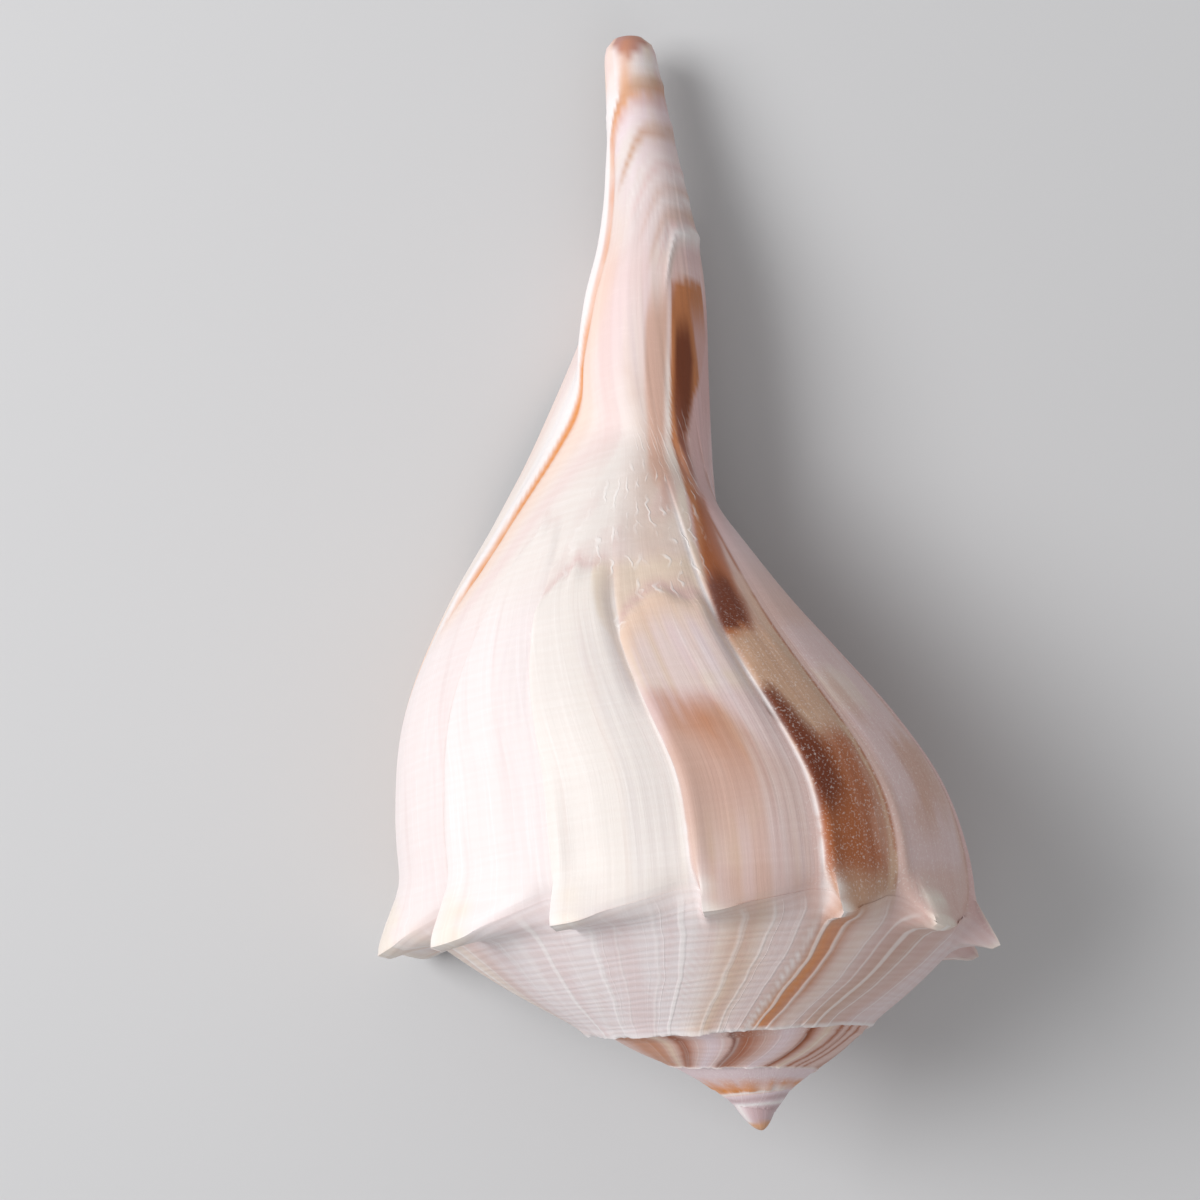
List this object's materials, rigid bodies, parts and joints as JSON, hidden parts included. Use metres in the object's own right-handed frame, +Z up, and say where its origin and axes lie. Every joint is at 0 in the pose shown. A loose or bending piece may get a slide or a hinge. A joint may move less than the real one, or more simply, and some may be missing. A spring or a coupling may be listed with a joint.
{
  "type": "lightning whelk shell",
  "caption": "Left-handed sea snail shell with a low spire, a spined shoulder, a wide mouth and a long tapering canal, lying on its mouth.",
  "frame": {"origin": "middle of the base of the shell's box, on the surface it lies on", "axes": "+Y towards the end of the canal, +Z up to the shell's back, +X to its right; the mouth faces -Z and its lip is on the -X side"},
  "size_m": [0.081, 0.1484, 0.0656],
  "materials": {
    "shell": "satin natural shell, cream and lilac grey with red-brown flames"
  },
  "bodies": {
    "root": {"shell": "shell"}
  },
  "joints": []
}
